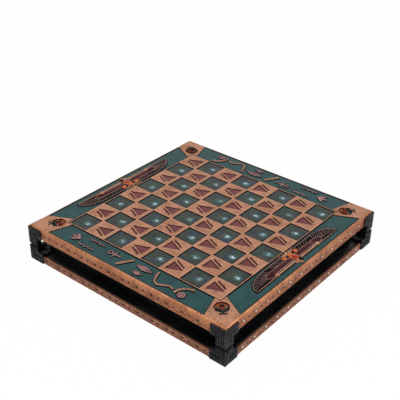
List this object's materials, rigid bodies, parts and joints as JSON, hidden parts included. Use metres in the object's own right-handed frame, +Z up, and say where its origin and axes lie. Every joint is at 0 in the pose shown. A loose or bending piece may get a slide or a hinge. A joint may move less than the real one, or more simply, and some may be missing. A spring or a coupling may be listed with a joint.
{
  "type": "chessboard with storage case",
  "caption": "Square enamelled metal chessboard whose board lifts off a shallow black storage case, with embossed copper bands and dark cast corners.",
  "frame": {"origin": "centre of the footprint, on the surface that the board stands on", "axes": "+X to the right, +Y to the back, +Z up out of the playing surface"},
  "size_m": [0.3648, 0.3648, 0.0607],
  "materials": {
    "copper_cast": "matte",
    "copper_bright": "satin",
    "copper_band": "satin",
    "gunmetal_cast": "satin",
    "gunmetal_polished": "polished",
    "enamel_teal": "gloss",
    "enamel_green": "gloss",
    "enamel_plum": "gloss",
    "enamel_red": "gloss",
    "enamel_orange": "gloss",
    "black_wood": "satin",
    "felt": "matte",
    "screw_steel": "satin"
  },
  "bodies": {
    "case": {"base_board": "black_wood", "base_casting_screws": "screw_steel", "cross_divider": "black_wood", "floor_lining": "felt", "foot_pads": "felt", "guide_posts": "gunmetal_polished", "long_divider": "black_wood", "lower_band_back": "copper_band", "lower_band_front": "copper_band", "lower_band_left": "copper_band", "lower_band_right": "copper_band", "lower_corner_back_left": "gunmetal_cast", "lower_corner_back_right": "gunmetal_cast", "lower_corner_front_left": "gunmetal_cast", "lower_corner_front_right": "gunmetal_cast", "wall_back": "black_wood", "wall_front": "black_wood", "wall_left": "black_wood", "wall_right": "black_wood"},
    "lid": {"board_plate": "copper_cast", "dark_cell_enamel": "enamel_green", "emblem_arch_enamel": "enamel_orange", "emblem_leaf_enamel": "enamel_green", "emblem_sun_enamel": "enamel_red", "lid_board": "black_wood", "lid_casting_screws": "screw_steel", "lid_lining": "felt", "panel_enamel_back": "enamel_teal", "panel_enamel_front": "enamel_teal", "panel_enamel_left": "enamel_teal", "panel_enamel_right": "enamel_teal", "pyramid_lit_enamel": "enamel_plum", "pyramid_side_enamel": "enamel_plum", "side_ornaments_left": "copper_bright", "side_ornaments_right": "copper_bright", "upper_band_back": "copper_band", "upper_band_front": "copper_band", "upper_band_left": "copper_band", "upper_band_right": "copper_band", "upper_corner_back_left": "gunmetal_cast", "upper_corner_back_right": "gunmetal_cast", "upper_corner_front_left": "gunmetal_cast", "upper_corner_front_right": "gunmetal_cast", "winged_figure_back": "copper_bright", "winged_figure_front": "copper_bright"}
  },
  "joints": [
    {"name": "lid_lift", "type": "slide", "parent": "case", "child": "lid", "axis": [0, 0, 1], "range_m": [0, 0.08]}
  ]
}
